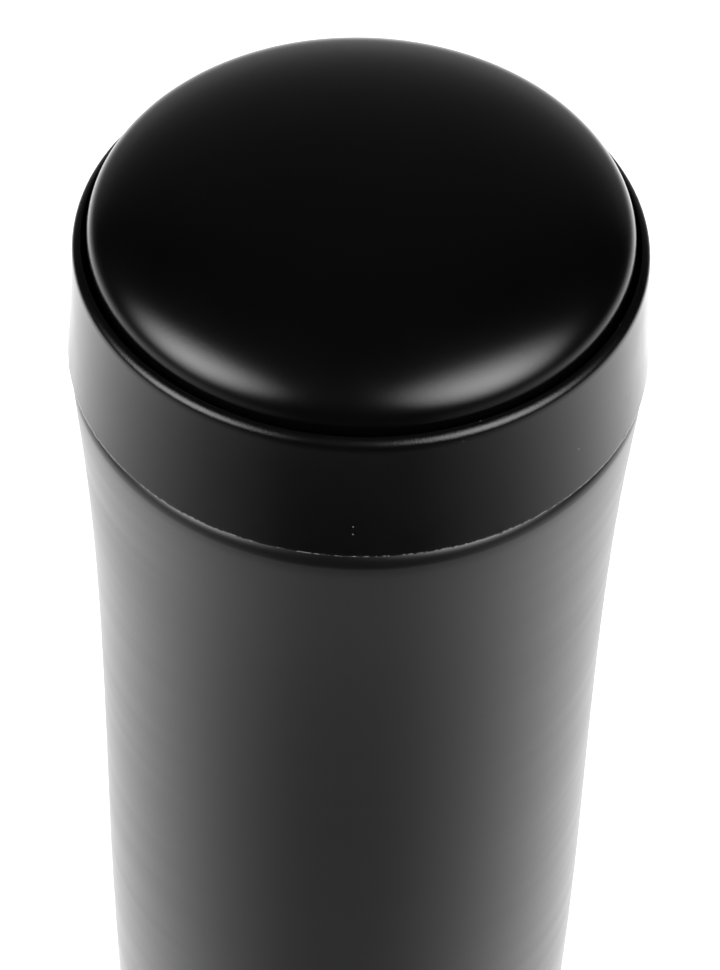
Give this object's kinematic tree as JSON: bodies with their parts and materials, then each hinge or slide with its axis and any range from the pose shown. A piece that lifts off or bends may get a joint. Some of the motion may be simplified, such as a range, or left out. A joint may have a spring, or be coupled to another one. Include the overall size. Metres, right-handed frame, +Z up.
{
  "type": "vacuum flask",
  "caption": "Double-walled vacuum flask with a flared body, a screw lid and a domed push button that opens a ring gap to drink from.",
  "frame": {"origin": "centre of the foot ring's underside", "axes": "+Z up along the flask's axis; the latch arm and its pin face -Y"},
  "size_m": [0.0786, 0.0786, 0.2084],
  "materials": {
    "shell_paint": "satin black powder paint",
    "liner_steel": "fine turned",
    "foil": "crinkled foil",
    "getter_metal": "dull",
    "collar_plastic": "satin moulded",
    "dome_plastic": "soft gloss",
    "mechanism_plastic": "moulded",
    "silicone": "matt silicone",
    "spring_steel": "drawn wire"
  },
  "bodies": {
    "flask": {"outer_shell": "shell_paint", "inner_liner": "liner_steel", "radiation_foil": "foil", "getter_clip": "liner_steel", "getter_pill": "getter_metal", "vacuum_base_plate": "liner_steel", "vacuum_seal_bead": "getter_metal", "base_cover": "shell_paint", "foot_ring": "silicone"},
    "gasket": {"lid_gasket": "silicone"},
    "lid": {"collar_shell": "collar_plastic", "lid_body": "collar_plastic", "plunger_guide": "mechanism_plastic", "stem_seal": "silicone", "latch_pin": "spring_steel", "return_spring": "spring_steel"},
    "push_button": {"dome_cap": "dome_plastic", "dome_inner_plate": "collar_plastic", "stem": "mechanism_plastic", "valve_disc": "mechanism_plastic", "valve_seal": "silicone", "stem_screw": "spring_steel"},
    "latch_arm": {"latch_arm": "mechanism_plastic"}
  },
  "joints": [
    {"name": "lid_rise", "type": "slide", "parent": "flask", "child": "gasket", "axis": [0, 0, 1], "range_m": [0, 0.0361]},
    {"name": "lid_turn", "type": "hinge", "parent": "gasket", "child": "lid", "pos_m": [0, 0, 0.176], "axis": [0, 0, 1], "range_deg": [0, 1080]},
    {"name": "button_press", "type": "slide", "parent": "lid", "child": "push_button", "axis": [0, 0, -1], "range_m": [0, 0.005], "stiffness_N_per_m": 600, "springref_m": -0.01, "deforming": ["return_spring"]},
    {"name": "latch_swing", "type": "hinge", "parent": "lid", "child": "latch_arm", "pos_m": [0, -0.0061, 0.1693], "axis": [0, 1, 0], "range_deg": [0, 12.6]}
  ],
  "couplings": [
    {"joint": "lid_rise", "follows": "lid_turn", "m_per_rad": 0.0019099},
    {"joint": "latch_swing", "follows": "button_press", "rad_per_m": 43.6}
  ]
}
